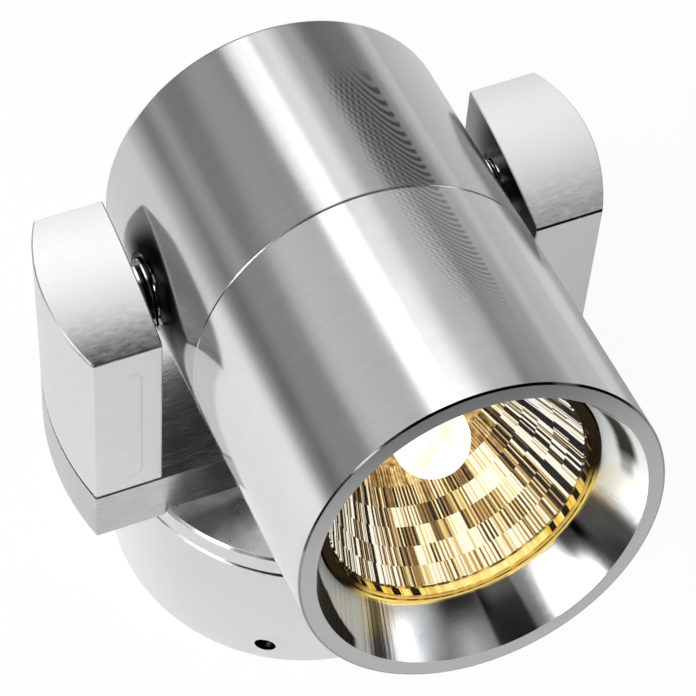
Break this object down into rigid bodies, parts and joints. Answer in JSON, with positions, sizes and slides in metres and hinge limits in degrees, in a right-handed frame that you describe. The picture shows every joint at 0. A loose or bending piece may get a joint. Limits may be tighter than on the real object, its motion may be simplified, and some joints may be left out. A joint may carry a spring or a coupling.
{
  "type": "surface spotlight",
  "caption": "Round-canopy surface spotlight whose cylindrical reflector-lamp head tilts between yoke cheeks on a swivel disc.",
  "frame": {"origin": "centre of the mounting plate's and canopy's back plane, on the wall or ceiling", "axes": "+Z away from the mounting surface along the swivel axis, X along the tilt axis, lamp facing -Y"},
  "size_m": [0.1026, 0.1199, 0.1437],
  "materials": {
    "satin_aluminium": "fine turned and brushed satin",
    "polished_aluminium": "polished",
    "bright_steel": "bright",
    "plated_steel": "zinc plated",
    "brass": "plain",
    "ceramic": "matt",
    "terminal_plastic": "matt",
    "friction_plastic": "matt",
    "mirrored_glass": "faceted mirror coat",
    "clear_glass": "clear",
    "lamp_glass": "clear, lit"
  },
  "bodies": {
    "base": {"mounting_plate": "plated_steel", "canopy": "satin_aluminium", "canopy_grub_screws": "bright_steel", "terminal_block": "terminal_plastic", "terminal_screws": "brass", "plate_earth_screw": "brass", "friction_ring": "friction_plastic", "swivel_stop_pin": "bright_steel"},
    "yoke": {"swivel_disc": "polished_aluminium", "disc_screws": "bright_steel", "swivel_stem": "bright_steel", "stem_washer": "bright_steel", "stem_spring_washer": "bright_steel", "stem_nut": "bright_steel", "yoke_bar": "satin_aluminium", "cheek_left": "satin_aluminium", "cheek_right": "satin_aluminium", "cheek_screws": "bright_steel", "pivot_washers_left": "bright_steel", "pivot_washers_right": "bright_steel", "pivot_screw_left": "bright_steel", "pivot_screw_right": "bright_steel", "pivot_springs": "bright_steel"},
    "head": {"rear_barrel": "satin_aluminium", "lamp_holder": "ceramic", "holder_contacts": "brass", "holder_bracket": "plated_steel", "holder_screws": "bright_steel", "bracket_screws": "bright_steel", "head_earth_screw": "brass"},
    "front_barrel": {"front_barrel": "satin_aluminium"},
    "lamp": {"lamp_reflector": "mirrored_glass", "lamp_front_glass": "clear_glass", "lamp_capsule": "lamp_glass", "lamp_base": "ceramic", "lamp_pins": "bright_steel"}
  },
  "joints": [
    {"name": "yoke_swivel", "type": "hinge", "parent": "base", "child": "yoke", "pos_m": [0, 0, 0.0352], "axis": [0, 0, 1], "range_deg": [-170, 170]},
    {"name": "head_tilt", "type": "hinge", "parent": "yoke", "child": "head", "pos_m": [0, 0, 0.09232], "axis": [-1, 0, 0], "range_deg": [-25, 174.6]},
    {"name": "front_barrel_pull", "type": "slide", "parent": "head", "child": "front_barrel", "axis": [0, -0.965, 0.2622], "range_m": [0, 0.06]},
    {"name": "lamp_twist", "type": "hinge", "parent": "head", "child": "lamp", "pos_m": [0, 0, 0.09232], "axis": [0, -0.965, 0.2622], "range_deg": [0, 20]}
  ]
}
